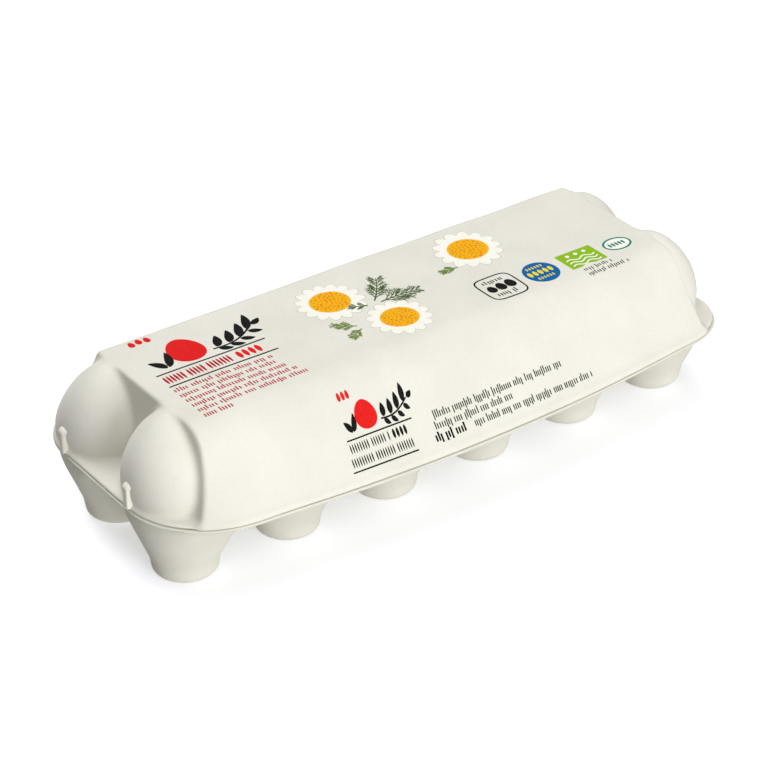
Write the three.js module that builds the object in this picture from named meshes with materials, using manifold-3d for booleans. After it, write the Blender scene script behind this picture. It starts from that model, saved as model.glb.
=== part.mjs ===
// A shut egg carton of moulded pulp: a domed lid over a tray with two rows of six cups.
// Millimetres, +Z up. X runs along the carton, and the front is the side towards -Y.
// The origin is on the ground, under the middle of the carton's bounding box.
import * as THREE from "three";
import { mergeVertices } from "three/addons/utils/BufferGeometryUtils.js";
import Module from "manifold-3d";

// Cups: two rows, each cup a tapered wall on a short round foot
const CUPS_IN_ROW = 6;
const CUP_PITCH = 49;
const ROW_OFFSET = 25.4;
const FOOT_FLAT_RADIUS = 11.1;
const FOOT_ROUND_RADIUS = 13.2;
const FOOT_RADIUS = 13.9;
const FOOT_ROUND_HEIGHT = 3;
const KNEE_HEIGHT = 6;
const CUP_TOP_RADIUS = 25.4;
const CUP_TOP_HEIGHT = 31;
const END_CUP_LEAN = 2;
const CUP_SIDES = 28;

// Rim: the line where the lid meets the tray, bowed out along the front and straight along the back
const RIM_HEIGHT = 34.2;
const RIM_HALF_LENGTH = 144.7;
const RIM_FRONT = 65.5;
const RIM_BOW = 13.4;
const RIM_BACK = 57.1;
const BACK_CORNER = 28.5;
const SEAM_GAP = 0.3;

// Length and width of the rim's front corners, of which the left one is cut further
const LEFT_CORNER = [39, 36];
const RIGHT_CORNER = [28, 24];

// Lid: a flat roof, sloping faces, and two egg-shaped domes at each end
const ROOF_HEIGHT = 70;
const ROOF_HALF_LENGTH = 122;
const ROOF_HALF_WIDTH = 37;
const ROOF_FRONT_ROUND = 9;
const ROOF_BACK_ROUND = 4;
const FACE_HALF_LENGTH_AT_RIM = 128.5;
const SHELF_EDGE = 1;
const SHELF_RISE = 1.4;
const SHELF_INSET = 14;
const SHELF_FRONT_INSET = 2.5;

// Domes: rounded like an egg, on an axis that bends. A bend is how far the axis moves in proportion
// to the share of the height, and to its square
const DOME_X = 119.1;
const DOME_BEND_X = [12.8, -8.3];
const FRONT_DOME_Y = -20.9;
const FRONT_DOME_BEND = [-3.8, 6.7];
const BACK_DOME_Y = 30;
const BACK_DOME_BEND = [-8.9, 5.6];
const DOME_RADIUS_X = 24.2;
const DOME_RADIUS_Y = 23.4;
const DOME_BASE = 33.8;
const DOME_WALL_TOP = 35.8;
const DOME_TOP = 69.6;
const DOME_RISE_POWER = 1.55;
const DOME_ROUND_POWER = 1.66;

// Small upright ribs between the domes and the rim, each with a knob on top
const RIB_X = 145.2;
const RIB_FRONT_Y = -21;
const RIB_BACK_Y = 28;
const RIB_LENGTH = 6;
const RIB_WIDTH = 2;
const RIB_TOP = 44.5;
const RIB_KNOB_RADIUS = 1.7;

// Tray: a thin lip under the seam, a flange that tapers in to the cups, and a hinge bead at the back
const LIP_PROUD = 0.6;
const LIP_THICKNESS = 1.4;
const FLANGE_BOTTOM = 26;
const FLANGE_INSET = 14;
const WALL_INSET = 1;
const POST_BOTTOM_RADIUS = 9;
const POST_TOP_RADIUS = 4.5;
const POST_BOTTOM = 20;
const POST_TOP = 32.2;
const HINGE_RADIUS = 1.7;
const HINGE_HALF_LENGTH = 108;
const HINGE_OUT = 1.8;

// How finely the curved shapes are drawn
const LENGTH_STEPS = 24;
const CORNER_STEPS = 10;
const EDGE_STEPS = 6;
const DOME_SIDES = 40;
const DOME_RINGS = 14;
const KNOB_SIDES = 12;
const KNOB_RINGS = 8;
const ROD_SIDES = 16;
const WELD = 1e-4;

const LID_LOOK = { color: 0xf1eee3, roughness: 0.85, metalness: 0 };
const TRAY_LOOK = { color: 0xe3dfd1, roughness: 0.9, metalness: 0 };

const wasm = await Module();
wasm.setup();

// Turns a closed geometry into a solid for joining and cutting
function solid(geometry) {
  const bare = geometry.clone();
  bare.deleteAttribute("normal");
  bare.deleteAttribute("uv");
  const merged = mergeVertices(bare, WELD);
  return new wasm.Manifold(
    new wasm.Mesh({
      numProp: 3,
      vertProperties: new Float32Array(merged.attributes.position.array),
      triVerts: new Uint32Array(merged.index.array),
    }),
  );
}

function joined(solids) {
  return solids.reduce((whole, piece) => whole.add(piece));
}

function meshOf(name, shape, look) {
  const { vertProperties, triVerts } = shape.getMesh();
  const geometry = new THREE.BufferGeometry();
  geometry.setAttribute("position", new THREE.BufferAttribute(vertProperties, 3));
  geometry.setIndex(new THREE.BufferAttribute(triVerts, 1));
  const flat = geometry.toNonIndexed();
  flat.computeVertexNormals();
  const mesh = new THREE.Mesh(flat, new THREE.MeshStandardMaterial(look));
  mesh.name = name;
  return mesh;
}

// Moves each vertex of a geometry to where the given function puts it
function reshape(geometry, move) {
  const position = geometry.attributes.position;
  const point = new THREE.Vector3();
  for (let i = 0; i < position.count; i++) {
    point.fromBufferAttribute(position, i);
    move(point);
    position.setXYZ(i, point.x, point.y, point.z);
  }
  return geometry;
}

// Distance from the middle line to the rim's front edge, at a distance x along the carton
function rimFront(x, front = RIM_FRONT, bow = RIM_BOW) {
  const [length, width] = x < 0 ? LEFT_CORNER : RIGHT_CORNER;
  const straightEnd = RIM_HALF_LENGTH - length;
  const along = Math.min(Math.abs(x), straightEnd);
  const bowed = front - bow * (along / RIM_HALF_LENGTH) ** 2;
  const past = Math.max(Math.abs(x) - straightEnd, 0) / length;
  return bowed - width * (1 - Math.sqrt(Math.max(1 - past * past, 0)));
}

// The same for the rim's back edge
function rimBack(x) {
  const past = Math.max(Math.abs(x) - (RIM_HALF_LENGTH - BACK_CORNER), 0) / BACK_CORNER;
  return RIM_BACK - BACK_CORNER * (1 - Math.sqrt(Math.max(1 - past * past, 0)));
}

// One end's half of the rim's outline seen from above, made larger by grow
function rimHalf(side, grow, front, bow) {
  const [length] = side < 0 ? LEFT_CORNER : RIGHT_CORNER;
  const cornerStart = RIM_HALF_LENGTH - length;
  const corner = (step) => (Math.PI / 2) * (step / CORNER_STEPS);
  const points = [];
  for (let step = 0; step < LENGTH_STEPS / 2; step++) {
    const x = (cornerStart * step) / (LENGTH_STEPS / 2);
    points.push([side * x, -rimFront(side * x, front, bow) - grow]);
  }
  for (let step = 0; step <= CORNER_STEPS; step++) {
    const x = cornerStart + length * Math.sin(corner(step));
    const scale = (RIM_HALF_LENGTH + grow) / RIM_HALF_LENGTH;
    const y = -rimFront(side * x, front, bow) - grow * Math.cos(corner(step));
    points.push([side * x * scale, y]);
  }
  for (let step = 0; step <= CORNER_STEPS; step++) {
    const radius = BACK_CORNER + grow;
    const x = RIM_HALF_LENGTH - BACK_CORNER + radius * Math.cos(corner(step));
    const y = RIM_BACK - BACK_CORNER + radius * Math.sin(corner(step));
    points.push([side * x, y]);
  }
  return points;
}

function rimShape(grow, front = RIM_FRONT, bow = RIM_BOW) {
  const right = rimHalf(1, grow, front, bow);
  const left = rimHalf(-1, grow, front, bow).slice(1).reverse();
  return new THREE.Shape([...right, ...left].map(([x, y]) => new THREE.Vector2(x, y)));
}

// A slab under or over the rim's outline, whose far side is drawn in by inset
function rimSlab(shape, from, to, inset = 0) {
  const slab = new THREE.ExtrudeGeometry(shape, { depth: to - from, bevelEnabled: false });
  const middleLength = RIM_HALF_LENGTH;
  const middleWidth = (RIM_FRONT + RIM_BACK) / 2;
  const middleY = (RIM_BACK - RIM_FRONT) / 2;
  return reshape(slab, (point) => {
    const drawn = inset > 0 ? point.z / (to - from) : 1 - point.z / (to - from);
    const amount = Math.abs(inset) * drawn;
    point.x *= 1 - amount / middleLength;
    point.y = middleY + (point.y - middleY) * (1 - amount / middleWidth);
    point.z += from;
  });
}

// Roof and long faces: one cross-section along the carton, drawn out to the bowed rim
function lidCore() {
  const drop = ROOF_HEIGHT - RIM_HEIGHT;
  const frontSlope = new THREE.Vector2(ROOF_HALF_WIDTH - RIM_FRONT, -drop).setLength(ROOF_FRONT_ROUND);
  const backSlope = new THREE.Vector2(RIM_BACK - ROOF_HALF_WIDTH, -drop).setLength(ROOF_BACK_ROUND);
  const section = new THREE.Shape();
  section.moveTo(-RIM_FRONT, RIM_HEIGHT);
  section.lineTo(RIM_BACK, RIM_HEIGHT);
  section.lineTo(ROOF_HALF_WIDTH + backSlope.x, ROOF_HEIGHT + backSlope.y);
  section.quadraticCurveTo(ROOF_HALF_WIDTH, ROOF_HEIGHT, ROOF_HALF_WIDTH - ROOF_BACK_ROUND, ROOF_HEIGHT);
  section.lineTo(ROOF_FRONT_ROUND - ROOF_HALF_WIDTH, ROOF_HEIGHT);
  section.quadraticCurveTo(
    -ROOF_HALF_WIDTH, ROOF_HEIGHT,
    -ROOF_HALF_WIDTH + frontSlope.x, ROOF_HEIGHT + frontSlope.y,
  );
  section.closePath();
  const core = new THREE.ExtrudeGeometry(section, {
    depth: 2,
    steps: LENGTH_STEPS,
    curveSegments: EDGE_STEPS,
    bevelEnabled: false,
  });
  return reshape(core, (point) => {
    const [across, height, along] = [point.x, point.y, point.z - 1];
    const down = (ROOF_HEIGHT - height) / drop;
    const halfLength = ROOF_HALF_LENGTH + (FACE_HALF_LENGTH_AT_RIM - ROOF_HALF_LENGTH) * down ** 2;
    const x = along * halfLength;
    const bow = across < 0 ? RIM_FRONT - rimFront(x) : rimBack(x) - RIM_BACK;
    point.set(x, across + bow * down, height);
  });
}

function bent([inProportion, inSquare], share) {
  return inProportion * share + inSquare * share ** 2;
}

function dome(side, y, bendY) {
  const profile = [new THREE.Vector2(0, DOME_BASE), new THREE.Vector2(1, DOME_BASE)];
  for (let ring = 0; ring <= DOME_RINGS; ring++) {
    const radius = ring < DOME_RINGS ? Math.cos((Math.PI / 2) * (ring / DOME_RINGS)) : 0;
    const risen = (1 - radius ** DOME_ROUND_POWER) ** (1 / DOME_RISE_POWER);
    profile.push(new THREE.Vector2(radius, DOME_WALL_TOP + (DOME_TOP - DOME_WALL_TOP) * risen));
  }
  const egg = new THREE.LatheGeometry(profile, DOME_SIDES);
  egg.rotateX(Math.PI / 2);
  const leaning = reshape(egg, (point) => {
    const risen = Math.max(point.z - DOME_WALL_TOP, 0) / (DOME_TOP - DOME_WALL_TOP);
    point.x = side * (DOME_X + bent(DOME_BEND_X, risen)) + DOME_RADIUS_X * point.x;
    point.y = y + bent(bendY, risen) + DOME_RADIUS_Y * point.y;
  });
  return solid(leaning);
}

function rib(side, y) {
  const height = RIB_TOP - RIM_HEIGHT;
  const blade = new THREE.BoxGeometry(RIB_LENGTH, RIB_WIDTH, height);
  blade.translate(side * (RIB_X - RIB_LENGTH / 2), y, RIM_HEIGHT + height / 2);
  const knob = new THREE.SphereGeometry(RIB_KNOB_RADIUS, KNOB_SIDES, KNOB_RINGS);
  knob.translate(side * (RIB_X - RIB_KNOB_RADIUS), y, RIB_TOP);
  return solid(blade).add(solid(knob));
}

function hingeRod(radius, halfLength) {
  const rod = new THREE.CylinderGeometry(radius, radius, 2 * halfLength, ROD_SIDES);
  rod.rotateZ(Math.PI / 2);
  rod.translate(0, RIM_BACK + HINGE_OUT, RIM_HEIGHT - SEAM_GAP);
  return solid(rod);
}

// A block over everything that lies above the rim's plane
function aboveRim() {
  const block = new THREE.BoxGeometry(4 * RIM_HALF_LENGTH, 4 * RIM_FRONT, ROOF_HEIGHT);
  block.translate(0, 0, RIM_HEIGHT + ROOF_HEIGHT / 2);
  return solid(block);
}

function lid() {
  const shelfShape = rimShape(0, RIM_FRONT - SHELF_FRONT_INSET, RIM_BOW - SHELF_FRONT_INSET);
  const edgeTop = RIM_HEIGHT + SHELF_EDGE;
  const pieces = [
    solid(lidCore()),
    solid(rimSlab(shelfShape, RIM_HEIGHT, edgeTop)),
    solid(rimSlab(shelfShape, edgeTop, edgeTop + SHELF_RISE, SHELF_INSET)),
  ];
  for (const side of [-1, 1]) {
    pieces.push(dome(side, FRONT_DOME_Y, FRONT_DOME_BEND));
    pieces.push(dome(side, BACK_DOME_Y, BACK_DOME_BEND));
    pieces.push(rib(side, RIB_FRONT_Y), rib(side, RIB_BACK_Y));
  }
  const hingeRoom = hingeRod(HINGE_RADIUS + SEAM_GAP, HINGE_HALF_LENGTH + SEAM_GAP);
  return joined(pieces).intersect(aboveRim()).subtract(hingeRoom);
}

// The wall of an end cup leans in towards the middle of the carton as it rises
function cup(x, y, lean) {
  const profile = [
    [0, 0],
    [FOOT_FLAT_RADIUS, 0],
    [FOOT_ROUND_RADIUS, FOOT_ROUND_HEIGHT / 3],
    [FOOT_RADIUS, FOOT_ROUND_HEIGHT],
    [FOOT_RADIUS, KNEE_HEIGHT],
    [CUP_TOP_RADIUS, CUP_TOP_HEIGHT],
    [0, CUP_TOP_HEIGHT],
  ];
  const points = profile.map(([radius, height]) => new THREE.Vector2(radius, height));
  const wall = new THREE.LatheGeometry(points, CUP_SIDES);
  wall.rotateX(Math.PI / 2);
  const leaning = reshape(wall, (point) => {
    const risen = Math.max(point.z - KNEE_HEIGHT, 0) / (CUP_TOP_HEIGHT - KNEE_HEIGHT);
    point.x += lean * risen;
  });
  leaning.translate(x, y, 0);
  return solid(leaning);
}

// The hollow from below where four cups meet
function postHollow(x) {
  const height = POST_TOP - POST_BOTTOM;
  const cone = new THREE.CylinderGeometry(POST_TOP_RADIUS, POST_BOTTOM_RADIUS, height, ROD_SIDES);
  cone.rotateX(Math.PI / 2);
  cone.translate(x, 0, POST_BOTTOM + height / 2);
  return solid(cone);
}

function tray() {
  const top = RIM_HEIGHT - SEAM_GAP;
  const lipBottom = top - LIP_THICKNESS;
  const wallShape = rimShape(-WALL_INSET);
  const cups = [];
  const hollows = [];
  for (let column = 0; column < CUPS_IN_ROW; column++) {
    const x = (column - (CUPS_IN_ROW - 1) / 2) * CUP_PITCH;
    const atEnd = column === 0 || column === CUPS_IN_ROW - 1;
    const lean = atEnd ? -Math.sign(x) * END_CUP_LEAN : 0;
    cups.push(cup(x, -ROW_OFFSET, lean), cup(x, ROW_OFFSET, lean));
    if (column > 0) hollows.push(postHollow(x - CUP_PITCH / 2));
  }
  const within = solid(rimSlab(wallShape, -RIM_HEIGHT, top));
  const pieces = [
    joined(cups).intersect(within),
    solid(rimSlab(wallShape, FLANGE_BOTTOM, top - LIP_THICKNESS / 2, -FLANGE_INSET)),
    solid(rimSlab(rimShape(LIP_PROUD), lipBottom, top)),
    hingeRod(HINGE_RADIUS, HINGE_HALF_LENGTH),
  ];
  return joined(pieces).subtract(joined(hollows));
}

const carton = new THREE.Group();
const frontReach = RIM_FRONT + LIP_PROUD;
const backReach = RIM_BACK + HINGE_OUT + HINGE_RADIUS;
carton.add(meshOf("lid", lid(), LID_LOOK));
carton.add(meshOf("tray", tray(), TRAY_LOOK));
for (const piece of carton.children) piece.position.y = (frontReach - backReach) / 2;

export default carton;
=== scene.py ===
# A shut egg carton of moulded pulp: a domed lid over a tray of twelve cups, with print on the roof
# and the front. Shapes are worked out in millimetres in the carton's own frame, and each mesh is made
# in metres.
import math
import random

import bmesh
import bpy
import numpy as np
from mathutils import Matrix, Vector


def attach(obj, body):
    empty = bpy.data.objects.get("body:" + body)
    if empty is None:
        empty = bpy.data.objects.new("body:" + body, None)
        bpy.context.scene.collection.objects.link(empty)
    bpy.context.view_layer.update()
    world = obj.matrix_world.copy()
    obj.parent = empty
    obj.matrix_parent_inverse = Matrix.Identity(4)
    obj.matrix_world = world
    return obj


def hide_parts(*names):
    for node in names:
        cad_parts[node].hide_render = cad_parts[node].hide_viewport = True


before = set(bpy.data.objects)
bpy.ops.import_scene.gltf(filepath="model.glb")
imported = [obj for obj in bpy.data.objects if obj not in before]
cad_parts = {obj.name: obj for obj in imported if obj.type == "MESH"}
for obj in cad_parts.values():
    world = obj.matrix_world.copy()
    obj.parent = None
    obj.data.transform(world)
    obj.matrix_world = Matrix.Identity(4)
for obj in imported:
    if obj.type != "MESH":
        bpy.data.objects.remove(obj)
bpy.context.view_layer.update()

# Rim: the line where the lid meets the tray. Its front bows, and each front corner has its own length
# and width
RIM_HEIGHT = 34.2
RIM_HALF_LENGTH = 144.7
RIM_FRONT = 65.5
RIM_BOW = 13.4
RIM_BACK = 57.1
LEFT_CORNER = (39.0, 36.0)
RIGHT_CORNER = (28.0, 24.0)
BACK_CORNER = 28.5
BOW_END_BLEND = 14.0
SEAM_GAP = 0.3

# Lid: a core with a flat roof and sloping faces, and a low shelf along the rim. The core's front edge
# stands proud at the left end
ROOF_HEIGHT = 69.75
ROOF_HALF_LENGTH = 122.0
ROOF_HALF_WIDTH = 37.0
FACE_HALF_LENGTH_AT_RIM = 128.5
EDGE_PROUD = 3.0
EDGE_PROUD_DEPTH = 18.0
EDGE_PROUD_POWER = 1.5
CORE_DROP = 35.8
FRONT_EDGE_BLEND = 8.0
BACK_EDGE_BLEND = 2.4
END_EDGE_BLEND = 1.8
SHELF_EDGE = 1.0
SHELF_RISE = 1.4
SHELF_INSET = 14.0
SHELF_FRONT_INSET = 2.5
SHELF_TOP_BLEND = 2.0
SHELF_EDGE_BLEND = 0.8
SHELF_BLEND = 1.8

# Domes: egg shapes on a bent axis. A bend is how far the axis moves in proportion to the share of the
# height, and to its square
DOME_X = 119.1
DOME_BEND_X = (12.8, -8.3)
DOMES_Y = ((-20.9, -3.8, 6.7), (30.0, -8.9, 5.6))
DOME_RADIUS_X = 24.2
DOME_RADIUS_Y = 23.4
DOME_WALL_TOP = 35.8
DOME_TOP = 69.4
DOME_RISE_POWER = 1.55
DOME_ROUND_POWER = 1.66
DOME_WALL_BLEND = 3.0
DOME_PAIR_BLEND = 3.5

# Ribs between the domes and the rim, each a blade with a knob on top
RIB_X = 145.9
RIB_SET_BACK = 0.2
RIB_PLACES = (-21.0, 28.0)
RIB_LENGTH = 6.0
RIB_WIDTH = 3.1
RIB_TOP = 44.3
RIB_KNOB = (2.6, 2.5, 1.5)
RIB_KNOB_BLEND = 0.9
RIB_SOFT = 0.7

# Tray: cups with a knee above each foot, a flange and a lip under the rim, hollow posts where four cups
# meet, and a bead along the hinge
CUP_PITCH = 49.0
CUPS_IN_ROW = 6
ROW_OFFSET = 25.4
FOOT_RADIUS = 13.9
KNEE_HEIGHT = 6.0
CUP_TOP_RADIUS = 25.4
CUP_TOP_HEIGHT = 31.0
END_CUP_LEAN = 2.0
FOOT_EDGE_BLEND = 3.4
KNEE_BLEND = 1.6
CUP_BLEND = 3.0
FOOT_DISH_RADIUS = 8.0
FOOT_DISH_DEPTH = 0.7
FOOT_DISH_FLAT = 0.2
WALL_INSET = 1.0
WALL_BLEND = 1.5
FLANGE_BOTTOM = 26.0
FLANGE_INSET = 14.0
FLANGE_BLEND = 2.5
POST_BOTTOM_RADIUS = 9.0
POST_TOP_RADIUS = 4.5
POST_BOTTOM = 20.0
POST_TOP = 32.2
POST_TOP_BLEND = 3.0
POST_BLEND = 2.0
LIP_PROUD = 0.6
LIP_THICKNESS = 1.4
LIP_DEPTH = 3.0
LIP_TOP_BAND = 0.6
LIP_END_PROUD = 0.15
LIP_END_DROP = 0.4
HINGE_RADIUS = 1.7
HINGE_HALF_LENGTH = 108.0
HINGE_OUT = 1.8
HINGE_DENT = 0.03

MM = 0.001
SHIFT_Y = (RIM_FRONT + LIP_PROUD - RIM_BACK - HINGE_OUT - HINGE_RADIUS) / 2
FAR = 1e3

# Grid of the shells, and how far it reaches past them. The lid's and the tray's shells overlap at the
# rim before they are cut
NET_STEP = 1.0
NET_MARGIN = 2.0
LID_NET_BELOW_RIM = 2.1
TRAY_NET_ABOVE_RIM = 1.4
TRAY_CUT_BELOW_SEAM = 0.2
RIB_NET_STEP = 0.4
RIB_NET_REACH = (7.5, 3.4)
RIB_NET_BELOW = 1.0
RIB_NET_ABOVE = 2.6

# Waviness of the pulp
WAVES = 7
WAVE_HEIGHT = 0.12
WAVE_LENGTHS = (24, 70)
TRAY_WAVE_SHARE = 0.7
TRAY_WAVE_SHIFT = 90

draw = random.Random(12)


# Distance fields, negative inside, in millimetres

def smooth_min(a, b, width):
    """The lower of two fields, with the crease between them rounded over a width."""
    near = np.maximum(width - np.abs(a - b), 0) / width
    return np.minimum(a, b) - near * near * width / 4


def smooth_max(a, b, width):
    return -smooth_min(-a, -b, width)


def rim_front(x, front=RIM_FRONT, bow=RIM_BOW):
    """How far in front of the middle the rim runs, at points along the carton."""
    left = np.asarray(x) < 0
    length = np.where(left, LEFT_CORNER[0], RIGHT_CORNER[0])
    width = np.where(left, LEFT_CORNER[1], RIGHT_CORNER[1])
    reach = np.abs(x)
    straight_end = RIM_HALF_LENGTH - length
    along = smooth_min(reach, straight_end, BOW_END_BLEND)
    past = np.clip((reach - straight_end) / length, 0, 1)
    corner = width * (1 - np.sqrt(1 - past**2))
    return front - bow * (along / RIM_HALF_LENGTH) ** 2 - corner


def rim_back(x):
    past = np.clip((np.abs(x) - RIM_HALF_LENGTH + BACK_CORNER) / BACK_CORNER, 0, 1)
    return RIM_BACK - BACK_CORNER * (1 - np.sqrt(1 - past**2))


def rim_half(side, length, front, bow, corner_steps=60, length_steps=110):
    """One end's half of the rim seen from above, from the middle of the front to that of the back."""
    corner_start = RIM_HALF_LENGTH - length
    x = np.linspace(0, corner_start, length_steps, endpoint=False)
    straight = np.stack([x, -rim_front(side * x, front, bow)], 1)
    turn = np.linspace(0, math.pi / 2, corner_steps)
    x = corner_start + length * np.sin(turn)
    front_corner = np.stack([x, -rim_front(side * x, front, bow)], 1)
    x = RIM_HALF_LENGTH - BACK_CORNER + BACK_CORNER * np.cos(turn)
    back_corner = np.stack([x, RIM_BACK - BACK_CORNER + BACK_CORNER * np.sin(turn)], 1)
    x = np.linspace(RIM_HALF_LENGTH - BACK_CORNER, 0, length_steps)[1:]
    back = np.stack([x, np.full_like(x, RIM_BACK)], 1)
    return np.concatenate([straight, front_corner, back_corner, back]) * [side, 1]


def rim_outline(front=RIM_FRONT, bow=RIM_BOW):
    """The rim seen from above, counter-clockwise from the middle of the front."""
    right = rim_half(1, RIGHT_CORNER[0], front, bow)
    left = rim_half(-1, LEFT_CORNER[0], front, bow)
    return np.concatenate([right, left[1:-1][::-1]])


class OutlineDistance:
    """Signed distance to a rim outline seen from above, kept as a table and read with cubic
    interpolation."""

    def __init__(self, front, bow, step=1.5, margin=9.0):
        outline = rim_outline(front, bow)
        self.step = step
        self.low = outline.min(0) - margin
        counts = np.ceil((outline.max(0) + margin - self.low) / step).astype(int) + 1
        x = self.low[0] + step * np.arange(counts[0])
        y = self.low[1] + step * np.arange(counts[1])
        span = np.roll(outline, -1, 0) - outline
        length = (span**2).sum(1) + 1e-12
        table = np.empty((len(x), len(y)))
        for row, one_x in enumerate(x):
            to_x = one_x - outline[None, :, 0]
            to_y = y[:, None] - outline[None, :, 1]
            share = np.clip((to_x * span[:, 0] + to_y * span[:, 1]) / length, 0, 1)
            gap_x = to_x - share * span[:, 0]
            gap_y = to_y - share * span[:, 1]
            table[row] = np.sqrt((gap_x**2 + gap_y**2).min(1))
        within_ends = np.abs(x[:, None]) < RIM_HALF_LENGTH
        behind_front = y[None] > -rim_front(x, front, bow)[:, None]
        before_back = y[None] < rim_back(x)[:, None]
        inside = within_ends & behind_front & before_back
        self.table = np.where(inside, -table, table)

    def __call__(self, x, y):
        x, y = np.broadcast_arrays(x, y)
        u = (x - self.low[0]) / self.step
        v = (y - self.low[1]) / self.step
        i = np.clip(np.floor(u).astype(int), 1, self.table.shape[0] - 3)
        j = np.clip(np.floor(v).astype(int), 1, self.table.shape[1] - 3)
        weights_u = cubic_weights(np.clip(u - i, -1, 2))
        weights_v = cubic_weights(np.clip(v - j, -1, 2))
        total = 0
        for a in range(4):
            for b in range(4):
                total = total + weights_u[a] * weights_v[b] * self.table[i + a - 1, j + b - 1]
        return total


def cubic_weights(t):
    """The shares of four neighbours in a row, for a point at t between the two in the middle."""
    return (
        ((-0.5 * t + 1) * t - 0.5) * t,
        ((1.5 * t - 2.5) * t) * t + 1,
        ((-1.5 * t + 2) * t + 0.5) * t,
        ((0.5 * t - 0.5) * t) * t,
    )


rim_distance = OutlineDistance(RIM_FRONT, RIM_BOW)
shelf_distance = OutlineDistance(RIM_FRONT - SHELF_FRONT_INSET, RIM_BOW - SHELF_FRONT_INSET)

waves = []
for _ in range(WAVES):
    heading = [draw.uniform(-1, 1) for _ in range(3)]
    size = math.sqrt(sum(h * h for h in heading))
    length = draw.uniform(*WAVE_LENGTHS)
    waves.append(([h / size * 2 * math.pi / length for h in heading], draw.uniform(0, 2 * math.pi)))


def waviness(x, y, z):
    total = 0
    for turn, phase in waves:
        total = total + np.sin(turn[0] * x + turn[1] * y + turn[2] * z + phase)
    return WAVE_HEIGHT * total / len(waves) ** 0.5


def core_field(x, y, z):
    down = (ROOF_HEIGHT - z) / CORE_DROP
    front = rim_front(x) - ROOF_HALF_WIDTH
    back = rim_back(x) - ROOF_HALF_WIDTH
    front_face = (-y - ROOF_HALF_WIDTH - front * down) / np.sqrt(1 + (front / CORE_DROP) ** 2)
    back_face = (y - ROOF_HALF_WIDTH - back * down) / np.sqrt(1 + (back / CORE_DROP) ** 2)
    flare = FACE_HALF_LENGTH_AT_RIM - ROOF_HALF_LENGTH
    half_length = ROOF_HALF_LENGTH + flare * np.maximum(down, 0) ** 2
    proud = EDGE_PROUD * np.clip((-y - ROOF_HALF_WIDTH) / EDGE_PROUD_DEPTH, 0, 1) ** EDGE_PROUD_POWER
    half_length = half_length + np.where(x < 0, proud, 0)
    end = (np.abs(x) - half_length) / np.sqrt(1 + (2 * flare * down / CORE_DROP) ** 2)
    roof = smooth_max(z - ROOF_HEIGHT + 0 * y, front_face, FRONT_EDGE_BLEND)
    roof = smooth_max(roof, back_face, BACK_EDGE_BLEND)
    return smooth_max(roof, end, END_EDGE_BLEND)


def dome_field(x, y, z, place):
    share = np.maximum(z - DOME_WALL_TOP, 0) / (DOME_TOP - DOME_WALL_TOP)
    out = (np.abs(x) - DOME_X - DOME_BEND_X[0] * share - DOME_BEND_X[1] * share**2) / DOME_RADIUS_X
    across = (y - place[0] - place[1] * share - place[2] * share**2) / DOME_RADIUS_Y
    reach = np.sqrt(out**2 + across**2) + 1e-4
    level = reach**DOME_ROUND_POWER + share**DOME_RISE_POWER - 1
    sideways = np.sqrt((out / DOME_RADIUS_X) ** 2 + (across / DOME_RADIUS_Y) ** 2) / reach
    sideways = sideways * DOME_ROUND_POWER * reach ** (DOME_ROUND_POWER - 1)
    upward = DOME_RISE_POWER * share ** (DOME_RISE_POWER - 1) / (DOME_TOP - DOME_WALL_TOP)
    return level / np.sqrt(sideways**2 + upward**2 + 1e-5)


def shelf_field(x, y, z):
    inset = -shelf_distance(x, y)
    slope = SHELF_RISE / SHELF_INSET
    top = (z - RIM_HEIGHT - SHELF_EDGE - slope * inset) / math.sqrt(1 + slope**2)
    top = smooth_max(top, z - RIM_HEIGHT - SHELF_EDGE - SHELF_RISE + 0 * inset, SHELF_TOP_BLEND)
    return smooth_max(top, -inset + 0 * z, SHELF_EDGE_BLEND)


def lid_field(x, y, z):
    domes = smooth_min(*(dome_field(x, y, z, place) for place in DOMES_Y), DOME_PAIR_BLEND)
    low = smooth_min(domes, shelf_field(x, y, z), SHELF_BLEND)
    return smooth_min(core_field(x, y, z), low, DOME_WALL_BLEND) - waviness(x, y, z) + WAVE_HEIGHT


def cup_field(x, y, z, cup_x, cup_y, lean):
    risen = np.clip((z - KNEE_HEIGHT) / (CUP_TOP_HEIGHT - KNEE_HEIGHT), 0, 1)
    across = np.sqrt((x - cup_x - lean * risen) ** 2 + (y - cup_y) ** 2)
    slope = (CUP_TOP_RADIUS - FOOT_RADIUS) / (CUP_TOP_HEIGHT - KNEE_HEIGHT)
    cone = (across - FOOT_RADIUS - slope * (z - KNEE_HEIGHT)) / math.sqrt(1 + slope**2)
    wall = smooth_min(across - FOOT_RADIUS + 0 * z, cone, KNEE_BLEND)
    from_middle = np.clip(across / FOOT_DISH_RADIUS - FOOT_DISH_FLAT, 0, 1)
    dish = FOOT_DISH_DEPTH * (0.5 + 0.5 * np.cos(np.pi * from_middle))
    return smooth_max(wall, dish - z, FOOT_EDGE_BLEND)


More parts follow.
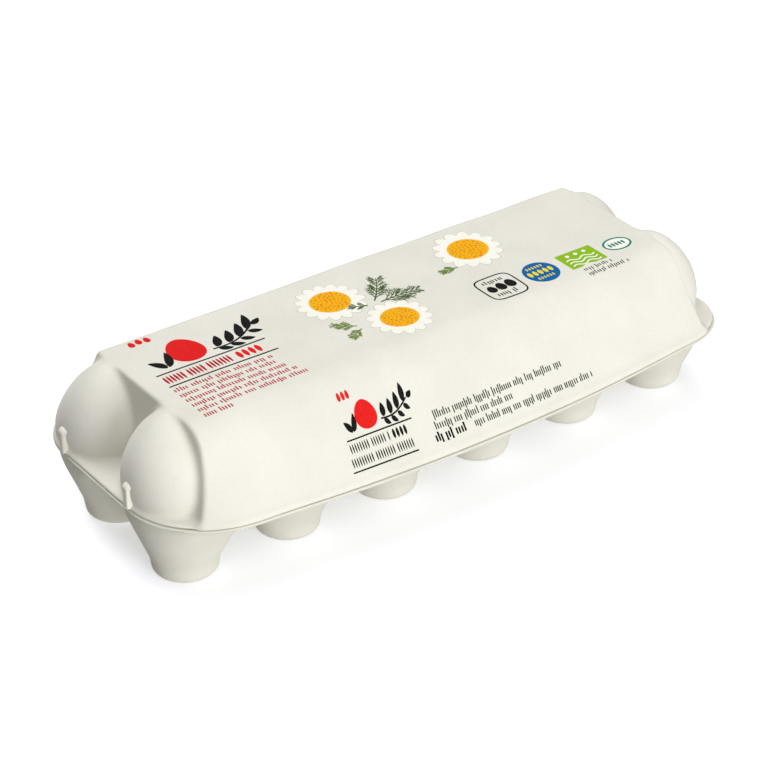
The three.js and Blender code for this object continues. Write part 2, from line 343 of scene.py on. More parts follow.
def tray_field(x, y, z):
    cups = FAR
    for column in range(CUPS_IN_ROW):
        cup_x = (column - (CUPS_IN_ROW - 1) / 2) * CUP_PITCH
        at_end = column in (0, CUPS_IN_ROW - 1)
        lean = -math.copysign(END_CUP_LEAN, cup_x) if at_end else 0
        for cup_y in (-ROW_OFFSET, ROW_OFFSET):
            cups = smooth_min(cups, cup_field(x, y, z, cup_x, cup_y, lean), CUP_BLEND)
    outline = rim_distance(x, y) + WALL_INSET
    cups = smooth_max(cups, outline + 0 * z, WALL_BLEND)
    slope = FLANGE_INSET / (RIM_HEIGHT - WALL_INSET - FLANGE_BOTTOM)
    drawn = outline + slope * (RIM_HEIGHT - WALL_INSET - z)
    flange = np.maximum(drawn / math.sqrt(1 + slope**2), outline)
    flange = np.maximum(flange, FLANGE_BOTTOM - z)
    whole = smooth_min(cups, flange, FLANGE_BLEND)
    for gap in range(1, CUPS_IN_ROW):
        gap_x = (gap - CUPS_IN_ROW / 2) * CUP_PITCH
        across = np.sqrt((x - gap_x) ** 2 + y**2)
        slope = (POST_BOTTOM_RADIUS - POST_TOP_RADIUS) / (POST_TOP - POST_BOTTOM)
        post = (across - POST_BOTTOM_RADIUS + slope * (z - POST_BOTTOM)) / math.sqrt(1 + slope**2)
        post = smooth_max(post, z - POST_TOP + 0 * across, POST_TOP_BLEND)
        whole = smooth_max(whole, -post, POST_BLEND)
    wave = waviness(x, y, z + TRAY_WAVE_SHIFT) * TRAY_WAVE_SHARE
    return whole - wave * np.clip(z / KNEE_HEIGHT, 0, 1) + WAVE_HEIGHT * TRAY_WAVE_SHARE


def rib_field(x, y, z):
    total = FAR
    for side in (-1, 1):
        for place in RIB_PLACES:
            p = (
                np.abs(x * side - RIB_X + RIB_LENGTH / 2 + RIB_SET_BACK) - RIB_LENGTH / 2 + RIB_SOFT,
                np.abs(y - place) - RIB_WIDTH / 2 + RIB_SOFT,
                np.abs(z - (RIM_HEIGHT + RIB_TOP) / 2) - (RIB_TOP - RIM_HEIGHT) / 2 + RIB_SOFT,
            )
            blade = np.sqrt(sum(np.maximum(c, 0) ** 2 for c in p)) - RIB_SOFT
            blade = blade + np.minimum(np.maximum(np.maximum(p[0], p[1]), p[2]), 0)
            centre = (side * (RIB_X - RIB_KNOB[0]), place, RIB_TOP)
            ball = [(c - m) / size for c, m, size in zip((x, y, z), centre, RIB_KNOB)]
            knob = (np.sqrt(sum(c * c for c in ball)) - 1) * min(RIB_KNOB)
            total = np.minimum(total, smooth_min(blade, knob, RIB_KNOB_BLEND))
    return total


# Meshes

def gradient(field, points, h=0.02):
    x, y, z = points.T
    return np.stack([
        field(x + h, y, z) - field(x - h, y, z),
        field(x, y + h, z) - field(x, y - h, z),
        field(x, y, z + h) - field(x, y, z - h),
    ], 1) / (2 * h)


def net(field, low, high, step, rounds=4, least_slope=0.05, longest_move=0.6):
    """The zero surface of a field as points and quads: one point in each cell that the surface crosses,
    moved onto the surface in a few rounds."""
    axes = [np.arange(low[i], high[i] + step, step) for i in range(3)]
    values = field(axes[0][:, None, None], axes[1][None, :, None], axes[2][None, None, :])
    inside = values < 0
    cells = tuple(n - 1 for n in values.shape)
    count = np.zeros(cells, int)
    for a in (0, 1):
        for b in (0, 1):
            for c in (0, 1):
                count += inside[a:a + cells[0], b:b + cells[1], c:c + cells[2]]
    active = (count > 0) & (count < 8)
    where = np.argwhere(active)
    number = np.full(cells, -1)
    number[active] = np.arange(len(where))
    total = np.zeros((len(where), 3))
    crossings = np.zeros(len(where))
    quads = []
    for axis in range(3):
        other, third = (axis + 1) % 3, (axis + 2) % 3
        for a in (0, 1):
            for b in (0, 1):
                start = where.copy()
                start[:, other] += a
                start[:, third] += b
                end = start.copy()
                end[:, axis] += 1
                v0 = values[tuple(start.T)]
                v1 = values[tuple(end.T)]
                crossed = (v0 < 0) != (v1 < 0)
                place = start.astype(float)
                place[:, axis] += np.where(crossed, v0 / np.where(crossed, v0 - v1, 1), 0)
                total += place * crossed[:, None]
                crossings += crossed
        lower = np.moveaxis(inside, (axis, other, third), (0, 1, 2))
        index = np.moveaxis(number, (axis, other, third), (0, 1, 2))
        change = lower[:-1, 1:-1, 1:-1].astype(int) - lower[1:, 1:-1, 1:-1]
        for sign in (1, -1):
            i, j, k = np.nonzero(change == sign)
            j, k = j + 1, k + 1
            corners = [index[i, j - 1, k - 1], index[i, j, k - 1], index[i, j, k], index[i, j - 1, k]]
            quads.append(np.stack(corners[::sign], 1))
    points = np.array([a[0] for a in axes]) + step * total / crossings[:, None]
    for _ in range(rounds):
        slope = gradient(field, points)
        value = field(*points.T)
        move = -value[:, None] * slope / np.maximum((slope**2).sum(1), least_slope)[:, None]
        size = np.sqrt((move**2).sum(1))
        points = points + move * np.minimum(1, longest_move * step / np.maximum(size, 1e-9))[:, None]
    return points, np.concatenate(quads)


def metres(points):
    """Points in millimetres in the carton's own frame, put in the shared frame."""
    return (np.asarray(points) + [0, SHIFT_Y, 0]) * MM


def new_piece(name, points, faces, material):
    """A smooth piece that belongs to the carton's one body, from points in millimetres."""
    mesh = bpy.data.meshes.new(name)
    mesh.from_pydata(metres(points).tolist(), [], [list(map(int, f)) for f in faces])
    mesh.materials.append(material)
    mesh.polygons.foreach_set("use_smooth", [True] * len(mesh.polygons))
    mesh.update()
    piece = bpy.data.objects.new(name, mesh)
    bpy.context.scene.collection.objects.link(piece)
    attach(piece, "root")
    return piece


def cut_flat(piece, height, keep_above):
    """Cuts a piece level at a height in millimetres, and closes it with a flat face."""
    mesh = bmesh.new()
    mesh.from_mesh(piece.data)
    made = bmesh.ops.bisect_plane(
        mesh,
        geom=mesh.verts[:] + mesh.edges[:] + mesh.faces[:],
        dist=2e-5,
        plane_co=(0, 0, height * MM),
        plane_no=(0, 0, -1 if keep_above else 1),
        clear_outer=True,
    )
    edges = [e for e in made["geom_cut"] if isinstance(e, bmesh.types.BMEdge)]
    filled = bmesh.ops.edgeloop_fill(mesh, edges=edges)["faces"]
    bmesh.ops.triangulate(mesh, faces=filled)
    for e in edges:
        if e.is_valid:
            e.smooth = False
    loose = [v for v in mesh.verts if not v.link_faces]
    bmesh.ops.delete(mesh, geom=loose, context="VERTS")
    bmesh.ops.recalc_face_normals(mesh, faces=mesh.faces[:])
    mesh.to_mesh(piece.data)
    mesh.free()


# Materials

INK_FADE = 0.012


def linear(red, green, blue):
    """A colour given as 0 to 255, as the shader wants it."""
    shares = [c / 255 for c in (red, green, blue)]
    return (*(s / 12.92 if s <= 0.04045 else ((s + 0.055) / 1.055) ** 2.4 for s in shares), 1)


def new_material(name, roughness, specular):
    material = bpy.data.materials.new(name)
    material.use_nodes = True
    shader = material.node_tree.nodes["Principled BSDF"]
    shader.inputs["Roughness"].default_value = roughness
    shader.inputs["Specular IOR Level"].default_value = specular
    return material, material.node_tree, shader


def noise(tree, scale, detail=3.0):
    """Noise fixed to the object, with the scale given for a metre."""
    place = tree.nodes.get("Texture Coordinate") or tree.nodes.new("ShaderNodeTexCoord")
    node = tree.nodes.new("ShaderNodeTexNoise")
    node.inputs["Scale"].default_value = scale
    node.inputs["Detail"].default_value = detail
    tree.links.new(place.outputs["Object"], node.inputs["Vector"])
    return node.outputs["Fac"]


def mixed(tree, share, first, second, low=0.35, high=0.65):
    """A colour between two, by a share that starts at low and ends at high."""
    ramp = tree.nodes.new("ShaderNodeValToRGB")
    ramp.color_ramp.elements[0].position = low
    ramp.color_ramp.elements[1].position = high
    ramp.color_ramp.elements[0].color = first
    ramp.color_ramp.elements[1].color = second
    tree.links.new(share, ramp.inputs["Fac"])
    return ramp.outputs["Color"]


def bumped(tree, shader, layers):
    """Puts one bump on another, each given as its height in millimetres and its noise."""
    last = None
    for height, source in layers:
        bump = tree.nodes.new("ShaderNodeBump")
        bump.inputs["Strength"].default_value = 1.0
        bump.inputs["Distance"].default_value = height * MM
        tree.links.new(source, bump.inputs["Height"])
        if last is not None:
            tree.links.new(last, bump.inputs["Normal"])
        last = bump.outputs["Normal"]
    tree.links.new(last, shader.inputs["Normal"])


def pulp_grain(tree):
    return [(0.06, noise(tree, 160.0)), (0.018, noise(tree, 1100.0, 4.0))]


def pulp(name, light, dark):
    """Moulded paper pulp: matt, with faint mottling and a fine felted grain."""
    material, tree, shader = new_material(name, roughness=0.88, specular=0.18)
    mottle = mixed(tree, noise(tree, 45.0), dark, light)
    fleck = mixed(tree, noise(tree, 1300.0, 2.0), (0.965, 0.96, 0.95, 1), (1, 1, 1, 1), 0.3, 0.5)
    both = tree.nodes.new("ShaderNodeMix")
    both.data_type = "RGBA"
    both.blend_type = "MULTIPLY"
    both.inputs["Factor"].default_value = 1.0
    tree.links.new(mottle, both.inputs["A"])
    tree.links.new(fleck, both.inputs["B"])
    tree.links.new(both.outputs["Result"], shader.inputs["Base Color"])
    bumped(tree, shader, pulp_grain(tree))
    return material


def ink(name, colour):
    """Printing ink on pulp: flat colour broken a little by the grain below."""
    material, tree, shader = new_material(name, roughness=0.85, specular=0.08)
    paler = (*(c + INK_FADE * (1 - c) for c in colour[:3]), 1)
    tree.links.new(mixed(tree, noise(tree, 1500.0, 2.0), colour, paler), shader.inputs["Base Color"])
    bumped(tree, shader, pulp_grain(tree))
    return material


lid_pulp = pulp("lid_pulp", linear(231, 229, 219), linear(226, 224, 213))
# The tray is the same pulp as the lid, set a little darker and yellower than the lid's, as painted shade
# on the cups
tray_pulp = pulp("tray_pulp", linear(224, 222, 210), linear(218, 216, 203))
INKS = {
    "black": ink("ink_black", linear(14, 13, 12)),
    "red": ink("ink_red", linear(222, 26, 24)),
    "rose": ink("ink_rose", linear(176, 22, 40)),
    "green": ink("ink_green", linear(140, 186, 22)),
    "leaf": ink("ink_leaf", linear(72, 98, 44)),
    "sprout": ink("ink_sprout", linear(118, 140, 66)),
    "blue": ink("ink_blue", linear(0, 98, 160)),
    "teal": ink("ink_teal", linear(0, 128, 108)),
    "lemon": ink("ink_lemon", linear(232, 214, 60)),
    "yolk": ink("ink_yolk", linear(244, 178, 18)),
    "amber": ink("ink_amber", linear(222, 132, 6)),
    "white": ink("ink_white", linear(247, 245, 235)),
    "grey": ink("ink_grey", linear(192, 191, 178)),
}


# Lid and tray

net_end = RIM_HALF_LENGTH + NET_MARGIN
net_front = -RIM_FRONT - NET_MARGIN
net_back = RIM_BACK + NET_MARGIN
points, quads = net(
    lid_field,
    (-net_end, net_front, RIM_HEIGHT - LID_NET_BELOW_RIM),
    (net_end, net_back, ROOF_HEIGHT + NET_MARGIN),
    NET_STEP,
)
lid = new_piece("lid_shell", points, quads, lid_pulp)
cut_flat(lid, RIM_HEIGHT, keep_above=True)
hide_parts("lid")

points, quads = net(
    tray_field,
    (-net_end, net_front, -NET_MARGIN),
    (net_end, net_back, RIM_HEIGHT + TRAY_NET_ABOVE_RIM),
    NET_STEP,
)
points[:, 2] = np.maximum(points[:, 2], 0)
tray = new_piece("tray_cups", points, quads, tray_pulp)
cut_flat(tray, RIM_HEIGHT - SEAM_GAP - TRAY_CUT_BELOW_SEAM, keep_above=False)
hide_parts("tray")

rib_points = []
rib_quads = []
for side in (-1, 1):
    for place in RIB_PLACES:
        low = (side * RIB_X - RIB_NET_REACH[0], place - RIB_NET_REACH[1], RIM_HEIGHT - RIB_NET_BELOW)
        high = (side * RIB_X + RIB_NET_REACH[0], place + RIB_NET_REACH[1], RIB_TOP + RIB_NET_ABOVE)
        points, quads = net(rib_field, low, high, RIB_NET_STEP)
        rib_quads.append(quads + sum(len(p) for p in rib_points))
        rib_points.append(points)
ribs = new_piece("lid_ribs", np.concatenate(rib_points), np.concatenate(rib_quads), lid_pulp)


def outward(outline):
    """The outward direction at each point of a counter-clockwise outline."""
    along = np.roll(outline, -1, 0) - np.roll(outline, 1, 0)
    along /= np.sqrt((along**2).sum(1))[:, None]
    return np.stack([along[:, 1], -along[:, 0]], 1)


def swept_rim(section, end_section):
    """A band that runs round the rim. A section is a closed list of (outwards, height), and the band
    goes from the first section on the long sides to the second one at both ends."""
    outline = rim_outline()
    normal = outward(outline)
    share = normal[:, :1] ** 2
    rings = []
    for start, end in zip(np.array(section), np.array(end_section)):
        place = start + (end - start) * share
        rings.append(np.column_stack([outline + place[:, :1] * normal, place[:, 1]]))
    ring = len(outline)
    faces = []
    for s in range(len(section)):
        a, b = s * ring, (s + 1) % len(section) * ring
        for i in range(ring):
            j = (i + 1) % ring
            faces.append((a + i, a + j, b + j, b + i))
    return np.concatenate(rings), faces


# The lip stands out less at both ends of the carton, and the band at its top is lower there
lip_top = RIM_HEIGHT - SEAM_GAP
lip_bottom = lip_top - LIP_THICKNESS
lip_section = [
    (-LIP_DEPTH, lip_bottom), (-0.2, lip_bottom), (0.25, lip_bottom + 0.1), (0.52, lip_bottom + 0.35),
    (LIP_PROUD, lip_bottom + 0.65), (LIP_PROUD, lip_top - 0.55), (0.5, lip_top - 0.22),
    (0.25, lip_top - 0.04), (-0.1, lip_top), (-LIP_DEPTH, lip_top),
]
lip_end_section = []
for out, z in lip_section:
    end_out = out + LIP_END_PROUD - LIP_PROUD if out > -LIP_DEPTH else out
    end_z = z - LIP_END_DROP if z > lip_top - LIP_TOP_BAND else z
    lip_end_section.append((end_out, end_z))
lip = new_piece("tray_lip", *swept_rim(lip_section, lip_end_section), tray_pulp)


def rounded_rod(half_length, radius, y, z, sides=24, cap_steps=8):
    """A slightly uneven rod along the carton, with round ends."""
    stations = []
    for step in range(1, cap_steps + 1):
        turn = math.pi / 2 * step / cap_steps
        stations.append((-half_length + radius - radius * math.cos(turn), radius * math.sin(turn)))
    count = int(half_length)
    inner = half_length - radius
    stations += [(-inner + 2 * inner * s / count, radius) for s in range(1, count)]
    stations += [(-x, r) for x, r in stations[:cap_steps][::-1]]
    points = [(-half_length, y, z)]
    for x, r in stations:
        dent = 1 - HINGE_DENT * (1 + math.sin(x * 0.9)) * (1 + math.sin(x * 0.23 + 1)) / 2
        for side in range(sides):
            turn = 2 * math.pi * side / sides
            points.append((x, y + r * dent * math.cos(turn), z + r * dent * math.sin(turn)))
    points.append((half_length, y, z))
    faces = []
    for side in range(sides):
        after = (side + 1) % sides
        faces.append((0, 1 + side, 1 + after))
        last = 1 + (len(stations) - 1) * sides
        faces.append((len(points) - 1, last + after, last + side))
        for ring in range(len(stations) - 1):
            a, b = 1 + ring * sides, 1 + (ring + 1) * sides
            faces.append((a + side, b + side, b + after, a + after))
    return np.array(points), faces


hinge = new_piece(
    "tray_hinge",
    *rounded_rod(HINGE_HALF_LENGTH, HINGE_RADIUS, RIM_BACK + HINGE_OUT, RIM_HEIGHT - SEAM_GAP),
    tray_pulp,
)


# Print: thin flat shapes that follow the roof or the front face. Each layer lies a step above the one
# below, and shapes of one colour take turns in height by a hair, so that overlapping ones don't lie level

INK_HEIGHT = 0.03
INK_STEP = 0.022
INK_HAIR = 0.0012
INK_TURNS = 9
INK_DEPTH = 0.25


def on_roof(flat):
    """Points (x, y) seen from above, put on the roof."""
    points = np.column_stack([flat, np.full(len(flat), ROOF_HEIGHT)])
    return slid(points, axis=2)


def on_front(flat):
    """Points (x, z) seen from the front, put on the front face."""
    down = (ROOF_HEIGHT - flat[:, 1]) / CORE_DROP
    reach = ROOF_HALF_WIDTH + (rim_front(flat[:, 0]) - ROOF_HALF_WIDTH) * down
    return slid(np.column_stack([flat[:, 0], -reach, flat[:, 1]]), axis=1)


def slid(points, axis, rounds=5):
    """Points moved along an axis onto the lid, and the lid's outward direction at each."""
    for _ in range(rounds):
        value = lid_field(*points.T)
        slope = gradient(lid_field, points)
        points[:, axis] -= value / slope[:, axis]
    slope = gradient(lid_field, points)
    return points, slope / np.sqrt((slope**2).sum(1))[:, None]


printed = {}


def lay(colour, shape, place, layer=0):
    """Makes a flat shape into a closed film of ink, sunk a little into the pulp."""
    flat, faces = shape
    flat = np.array(flat, float)
    film = printed.setdefault(colour, ([], []))
    height = INK_HEIGHT + INK_STEP * layer + INK_HAIR * (len(film[0]) % INK_TURNS)
    base, normal = place(flat)
    start = sum(len(p) for p in film[0])
    count = len(flat)
    film[0].append(base + normal * height)
    film[0].append(base - normal * INK_DEPTH)
    edges = {}
    for f in faces:
        edges.update(dict.fromkeys(zip(f, f[1:] + f[:1])))
        film[1].append([start + i for i in f])
        film[1].append([start + count + i for i in f[::-1]])
    for a, b in edges:
        if (b, a) not in edges:
            film[1].append([start + b, start + a, start + count + a, start + count + b])


def blob(centre, outline, rings=2):
    """A shape that its centre sees all of, from its outline."""
    centre = np.array(centre, float)
    outline = np.asarray(outline, float)
    count = len(outline)
    flat = [centre[None]]
    for ring in range(1, rings + 1):
        flat.append(centre + (outline - centre) * ring / rings)
    faces = [[0, 1 + i, 1 + (i + 1) % count] for i in range(count)]
    for ring in range(1, rings):
        a, b = 1 + (ring - 1) * count, 1 + ring * count
        faces += [[a + i, b + i, b + (i + 1) % count, a + (i + 1) % count] for i in range(count)]
    return np.concatenate(flat), faces


def oval(x, y, half_x, half_y, turn=0.0, steps=36, point=0.0):
    """An ellipse, or an egg shape if point is above 0."""
    t = np.linspace(0, 2 * math.pi, steps, endpoint=False)
    across = half_x * np.cos(t) * (1 - point * np.sin(t))
    along = half_y * np.sin(t)
    c, s = math.cos(turn), math.sin(turn)
    return np.stack([x + c * across - s * along, y + s * across + c * along], 1)


def strip(path, widths, closed=False):
    """A line drawn along a path, with its own width at each point."""
    path = np.asarray(path, float)
    widths = np.broadcast_to(np.asarray(widths, float), len(path))
    if closed:
        along = np.roll(path, -1, 0) - np.roll(path, 1, 0)
    else:
        along = np.gradient(path, axis=0)
    along /= np.sqrt((along**2).sum(1))[:, None]
    side = np.stack([along[:, 1], -along[:, 0]], 1) * widths[:, None] / 2
    count = len(path)
    last = count if closed else count - 1
    faces = [[i, (i + 1) % count, count + (i + 1) % count, count + i] for i in range(last)]
    return np.concatenate([path + side, path - side]), faces


def bar(x0, x1, y, height):
    """A level bar with softened ends."""
    soft = min(height / 2, (x1 - x0) / 3)
    inner = max(2, int((x1 - x0) / 4) + 1)
    x = [x0, x0 + 0.3 * soft, x0 + soft]
    x += list(np.linspace(x0 + soft, x1 - soft, inner + 1)[1:-1])
    x += [x1 - soft, x1 - 0.3 * soft, x1]
    wide = [0.5, 0.85, 1.0] + [1.0] * (inner - 1) + [1.0, 0.85, 0.5]
    return strip([(one, y) for one in x], [height * w for w in wide])


def joined(shapes):
    """Several flat shapes as one."""
    points = []
    faces = []
    for flat, around in shapes:
        start = sum(len(p) for p in points)
        points.append(np.asarray(flat, float))
        faces += [[start + i for i in f] for f in around]
    return np.concatenate(points), faces


def fine_row(colour, place, x0, x1, y, height, stroke, gap, words=(2, 11), layer=0):
    """A row of fine upright strokes grouped like words, which stands for a line of small print."""
    strokes = []
    x = x0
    left = draw.randint(*words)
    while x + stroke < x1:
        top = y + height * draw.choice((0.5, 0.5, 0.5, 0.5, 0.95))
        foot = y - height * draw.choice((0.5, 0.5, 0.5, 0.5, 0.5, 0.85))
        strokes.append(strip([(x, foot), (x, (top + foot) / 2), (x, top)], stroke))
        x += stroke + gap * draw.choice((0.8, 1, 1, 1.35))
        left -= 1
        if left == 0:
            x += 1.5 * gap + 0.6 * stroke
            left = draw.randint(*words)
    lay(colour, joined(strokes), place, layer)


def grain_row(colour, place, x0, x1, y, height, width, pitch, words=(5, 9), layer=0):
    """A border of upright grains, in groups."""
    grains = []
    x = x0 + width / 2
    left = draw.randint(*words)
    while x + width / 2 < x1:
        t = np.linspace(0, 1, 7)
        spine = np.stack([x + 0 * t, y + height * (t - 0.5)], 1)
        grains.append(strip(spine, 0.15 * width + 0.85 * width * np.sin(np.pi * t) ** 0.6))
        x += pitch
        left -= 1
        if left == 0:
            x += 0.8 * pitch
            left = draw.randint(*words)
    lay(colour, joined(grains), place, layer)


def egg(colour, place, x, y, half_x, half_y):
    lay(colour, blob((x, y), oval(x, y, half_x, half_y, point=0.16)), place)


def leaf(colour, place, x, y, heading, length, width):
    """A pointed leaf that starts at a point and bends a little."""
    t = np.linspace(0, 1, 11)
    turn = heading + 0.5 * (t - 0.5)
    path = np.array([x, y]) + length / 10 * np.cumsum(np.stack([np.cos(turn), np.sin(turn)], 1), 0)
    lay(colour, strip(path, width * np.sin(np.pi * t**0.8) ** 0.8 + 0.12), place)


def mark(place, x, y, width, height, squash):
    """A red egg between a pair of black leaves and a black leafy branch."""
    unit = width / 50
    tall = height / 20
    egg("red", place, x + 17.5 * unit, y + 9.5 * tall, 7.8 * unit, 9.3 * tall)
    for lean, long in ((2.15, 9), (1.2, 12)):
        leaf("black", place, x + 5 * unit, y + 0.5 * tall, lean, long * tall, 3.5 * unit)
    t = np.linspace(0, 1, 13)
    stem = np.stack([x + (27 + 22 * t) * unit, y + (3.5 + 7 * t - 3 * np.sin(np.pi * t)) * tall], 1)
    lay("black", strip(stem, 0.9 * unit), place)
    for step in range(4):
        base = stem[1 + 3 * step]
        leaf("black", place, *base, 1.15 + squash, (9 + step) * tall, 3.7 * unit)
        leaf("black", place, *base, -0.5 - squash, 6.2 * tall, 2.8 * unit)
    leaf("black", place, *stem[-1], 0.5, 6 * tall, 3.0 * unit)


def daisy(x, y, radius, petals, turn, dot_count=60, dot_turn=2.39996):
    """White petals with a grey edge round a wide yellow middle with a spiral of dots."""
    for petal in range(petals):
        heading = turn + 2 * math.pi * petal / petals
        reach = radius * draw.uniform(0.66, 0.7)
        px, py = x + reach * math.cos(heading), y + reach * math.sin(heading)
        long, wide = radius * 0.32, radius * math.pi * 0.68 / petals * 1.2
        outline = oval(px, py, long, wide, heading, steps=24)
        edge = (outline - [px, py]) * 1.06 + [px, py]
        lay("grey", blob((px, py), edge, 1), on_roof)
        lay("white", blob((px, py), outline, 1), on_roof, 1 + petal % 2)
    lay("yolk", blob((x, y), oval(x, y, radius * 0.6, radius * 0.56)), on_roof, 4)
    dots = []
    for dot in range(dot_count):
        share = math.sqrt((dot + 0.5) / dot_count)
        px = x + 0.53 * radius * share * math.cos(dot_turn * dot)
        py = y + 0.5 * radius * share * math.sin(dot_turn * dot)
        size = radius * draw.uniform(0.022, 0.044)
        dots.append(blob((px, py), oval(px, py, size, size, steps=8), 1))
    lay("amber", joined(dots), on_roof, 5)


def sprig(colour, x, y, heading, length, nodes, bend=0.3, layer=3):
    """A feathery sprig: a stem, thin branches on both sides, and fine needles on those."""
    t = np.linspace(0, 1, 9)
    turn = heading + bend * t
    path = np.array([x, y]) + length * np.cumsum(np.stack([np.cos(turn), np.sin(turn)], 1), 0) / len(t)
    lines = [strip(path, np.linspace(0.65, 0.3, len(t)))]
    for node in range(nodes):
        share = 0.18 + 0.8 * node / nodes
        base = path[int(share * (len(t) - 1))]
        for side in (-1, 1):
            angle = heading + bend * share + side * draw.uniform(0.5, 0.8)
            long = length * draw.uniform(0.28, 0.44) * (1.15 - 0.7 * share)
            way = np.array([math.cos(angle), math.sin(angle)])
            lines.append(strip([base, base + long * 0.5 * way, base + long * way], [0.42, 0.36, 0.16]))
            for needle in range(3):
                start = base + long * (0.3 + 0.24 * needle) * way
                for side_angle in (angle - 0.5, angle + 0.5):
                    tip = start + long * 0.34 * np.array([math.cos(side_angle), math.sin(side_angle)])
                    lines.append(strip([start, (start + tip) / 2, tip], [0.3, 0.26, 0.12]))
    lay(colour, joined(lines), on_roof, layer)


# Block on the roof
mark(on_roof, -111, 6.4, 51, 20, 0.0)
for step in range(3):
    egg("red", on_roof, -108.5 + 3.6 * step, 32.4 - 0.5 * abs(step - 1), 1.4, 2.1)
lay("black", bar(-113.5, -62, 4.8, 0.8), on_roof)
lay("black", bar(-113.5, -62, -4.8, 0.8), on_roof)
grain_row("rose", on_roof, -112.5, -80.5, 0, 6.0, 1.1, 1.6, (5, 9))
grain_row("red", on_roof, -78.6, -66, 0, 5.8, 2.3, 3.0, (9, 9))
for row, end in enumerate((-67, -68, -66, -64, -61, -100)):
    fine_row("rose", on_roof, -113, end, -8.4 - 4.3 * row, 2.0, 0.62, 0.6, (4, 11))

# Flowers and sprigs on the roof
daisy(-24, 13, 15.0, 15, 0.1)
daisy(-8, -14, 14.0, 14, 0.4)
daisy(50, 15, 15.5, 14, 0.2)
sprig("leaf", -10, 1.5, 0.75, 21, 8)
sprig("leaf", -9, 0.5, 0.1, 22, 8, bend=-0.3)
sprig("leaf", -12, 1, 2.6, 10, 5)
sprig("sprout", -25, -10, 2.7, 13, 6, bend=-0.4)
sprig("sprout", -25, -12, 3.5, 11, 5)
sprig("sprout", 38, 5, 3.0, 11, 5)

# Badge on the roof: a box with soft corners round three eggs
x, y = 41.5, -18.5
box_half = 9.2
corner_power = 0.42
t = np.linspace(0, 2 * math.pi, 56, endpoint=False)
box_x = x + box_half * np.sign(np.cos(t)) * np.abs(np.cos(t)) ** corner_power
box_y = y + box_half * np.sign(np.sin(t)) * np.abs(np.sin(t)) ** corner_power
lay("black", strip(np.stack([box_x, box_y], 1), 0.75, closed=True), on_roof)
fine_row("black", on_roof, x - 5.4, x + 5.4, y + 5.4, 1.9, 0.6, 0.66, (30, 30))
egg("black", on_roof, x - 4.9, y - 0.2, 2.1, 2.7)
egg("black", on_roof, x, y, 2.3, 3.0)
egg("black", on_roof, x + 5, y + 0.2, 2.4, 3.2)
fine_row("black", on_roof, x - 5.4, x + 5.4, y - 5.6, 2.1, 0.6, 0.66, (4, 5))

# Badge on the roof: a blue disc with three rows of grains
x, y = 62.8, -19
lay("blue", blob((x, y), oval(x, y, 8.2, 8.2)), on_roof)
grain_row("lemon", on_roof, x - 4.6, x + 4.8, y + 4.6, 2.0, 0.9, 1.5, (20, 20), 1)
grain_row("lemon", on_roof, x - 6.6, x + 6.8, y + 0.3, 4.0, 2.0, 2.7, (20, 20), 1)
grain_row("lemon", on_roof, x - 4.6, x + 4.8, y - 4.2, 2.0, 0.9, 1.5, (20, 20), 1)

# Badge on the roof: a green panel with waves under three dots
x, y = 84.5, -19.3
corners = [(x - 9.5, y - 6.6), (x + 9.5, y - 6.6), (x + 9.5, y + 6.6), (x - 9.5, y + 6.6)]
lay("green", blob((x, y), corners), on_roof)
t = np.linspace(0, 1, 33)
for lift in (-4.6, -2.2, 0.2):
    wave = np.stack([x - 7.5 + 15 * t, y + lift + 0.8 * np.sin(4 * math.pi * t)], 1)
    lay("white", strip(wave, 0.7), on_roof, 1)
for step in range(3):
    spot = (x - 4.5 + 4.5 * step, y + 3.8)
    lay("white", blob(spot, oval(*spot, 1.0, 1.0, steps=18), 1), on_roof, 1)
fine_row("black", on_roof, 79, 94, -28.6, 1.6, 0.52, 0.6, (2, 6))
fine_row("black", on_roof, 79, 101, -32.0, 1.6, 0.52, 0.6, (5, 9))

# Badge on the roof: a white oval with a ring and a row of grains
x, y = 105, -19
lay("white", blob((x, y), oval(x, y, 7.4, 5.4)), on_roof)
lay("teal", strip(oval(x, y, 6.7, 4.7), 1.0, closed=True), on_roof, 1)
grain_row("teal", on_roof, x - 4.6, x + 4.8, y, 3.2, 1.3, 1.8, (9, 9), 1)

# Block and lines on the front face
mark(on_front, -61, 50.6, 31.5, 10.4, 0.25)
for step in range(3):
    egg("red", on_front, -58.6 + 2 * step, 63.2, 0.8, 1.4)
lay("black", bar(-62, -31, 49.2, 0.5), on_front)
lay("black", bar(-64, -33, 38.9, 0.5), on_front)
grain_row("black", on_front, -61.8, -43, 46.4, 3.3, 0.6, 1.15, (6, 9))
grain_row("black", on_front, -41.6, -33.6, 46.5, 3.3, 1.3, 1.8, (9, 9))
grain_row("black", on_front, -63, -34.0, 41.8, 3.3, 0.6, 1.15, (6, 9))
fine_row("black", on_front, -21, 47, 47.4, 1.8, 0.52, 0.5, (3, 10))
fine_row("black", on_front, -22, 18, 43.8, 1.8, 0.52, 0.5, (3, 10))
fine_row("black", on_front, -23.5, -6.5, 40.2, 2.1, 0.85, 0.45, (3, 6))
fine_row("black", on_front, -4, 59, 40.2, 1.8, 0.52, 0.5, (3, 10))

for colour, (points, faces) in printed.items():
    piece = new_piece("print_" + colour, np.concatenate(points), faces, INKS[colour])
    piece.data.polygons.foreach_set("use_smooth", [False] * len(piece.data.polygons))


# Floor, light and camera

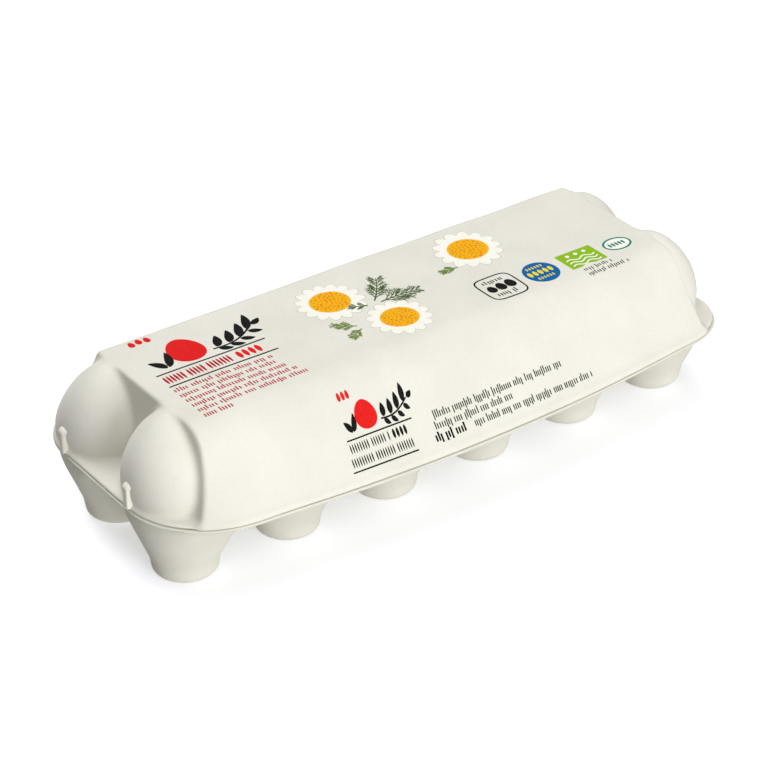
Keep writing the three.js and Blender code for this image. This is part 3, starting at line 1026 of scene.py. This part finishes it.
FLOOR_REACH = 6.0
floor_corners = [
    (FLOOR_REACH * side_x, FLOOR_REACH * side_y, 0)
    for side_x, side_y in ((-1, -1), (1, -1), (1, 1), (-1, 1))
]
floor_mesh = bpy.data.meshes.new("floor")
floor_mesh.from_pydata(floor_corners, [], [(0, 1, 2, 3)])
floor = bpy.data.objects.new("floor", floor_mesh)
floor.visible_diffuse = False
floor.visible_shadow = False
bpy.context.scene.collection.objects.link(floor)
paper, _, paper_shader = new_material("floor_paper", roughness=0.95, specular=0.0)
paper_shader.inputs["Base Color"].default_value = (0.8, 0.8, 0.83, 1)
paper_shader.inputs["Emission Color"].default_value = (0.97, 0.98, 1, 1)
paper_shader.inputs["Emission Strength"].default_value = 0.42
floor_mesh.materials.append(paper)

# The surroundings look pale, and light the carton from below alone, as a white table does. The floor
# gives the carton no light itself. The glow is given for light from the ends, from the front or back,
# and from straight below
GLOW_BELOW = (0.05, 1.0, 0.6)
world = bpy.data.worlds.new("studio")
bpy.context.scene.world = world
world.use_nodes = True
sky = world.node_tree
direction = sky.nodes.new("ShaderNodeTexCoord").outputs["Generated"]
parts = sky.nodes.new("ShaderNodeSeparateXYZ")
below = sky.nodes.new("ShaderNodeMath")
below.operation = "LESS_THAN"
below.inputs[1].default_value = 0
squared = sky.nodes.new("ShaderNodeVectorMath")
squared.operation = "MULTIPLY"
weighed = sky.nodes.new("ShaderNodeVectorMath")
weighed.operation = "DOT_PRODUCT"
weighed.inputs[1].default_value = GLOW_BELOW
glow = sky.nodes["Background"]
seen = sky.nodes.new("ShaderNodeLightPath")
pale = sky.nodes.new("ShaderNodeBackground")
pale.inputs["Color"].default_value = (1, 1, 1, 1)
pale.inputs["Strength"].default_value = 0.95
share = sky.nodes.new("ShaderNodeMixShader")
for source, target in (
    (direction, parts.inputs[0]),
    (direction, squared.inputs[0]),
    (direction, squared.inputs[1]),
    (squared.outputs["Vector"], weighed.inputs[0]),
    (weighed.outputs["Value"], glow.inputs["Strength"]),
    (parts.outputs["Z"], below.inputs[0]),
    (below.outputs[0], glow.inputs["Color"]),
    (seen.outputs["Is Camera Ray"], share.inputs[0]),
    (glow.outputs[0], share.inputs[1]),
    (pale.outputs[0], share.inputs[2]),
    (share.outputs[0], sky.nodes["World Output"].inputs["Surface"]),
):
    sky.links.new(source, target)

# Wide soft suns: where each shines from, and its strength
SUN_ANGLE = 40
SUNS = {
    "front_left": ((-0.35, -0.7, 0.8), 0.85),
    "front_right": ((0.7, -0.6, 0.5), 0.25),
    "front_low": ((0.0, -1.0, 0.15), 1.95),
    "top": ((0.0, 0.0, 1.0), 0.93),
    "back": ((0.0, 0.7, 0.7), 1.79),
}
for name, (way, strength) in SUNS.items():
    lamp = bpy.data.lights.new(name, "SUN")
    lamp.energy = strength
    lamp.angle = math.radians(SUN_ANGLE)
    sun = bpy.data.objects.new(name, lamp)
    sun.rotation_euler = Vector(way).to_track_quat("Z", "Y").to_euler()
    bpy.context.scene.collection.objects.link(sun)

# Camera: its place in the carton's own frame, its turn and tilt in radians, and its focal length in
# pixels of an image as wide as the photo
EYE = (-536.97, -722.06, 583.55)
YAW = 0.6343120934
PITCH = 0.5536039554
FOCAL_PIXELS = 2492.72
IMAGE_WIDTH = 768
SENSOR_WIDTH = 36
camera_data = bpy.data.cameras.new("camera")
camera_data.sensor_width = SENSOR_WIDTH
camera_data.lens = FOCAL_PIXELS * SENSOR_WIDTH / IMAGE_WIDTH
camera_data.clip_start = 0.05
camera_data.clip_end = 20
camera = bpy.data.objects.new("camera", camera_data)
bpy.context.scene.collection.objects.link(camera)
camera.location = metres([EYE])[0]
camera.rotation_euler = (math.pi / 2 - PITCH, 0, -YAW)
bpy.context.scene.camera = camera
bpy.context.scene.view_settings.view_transform = "Standard"
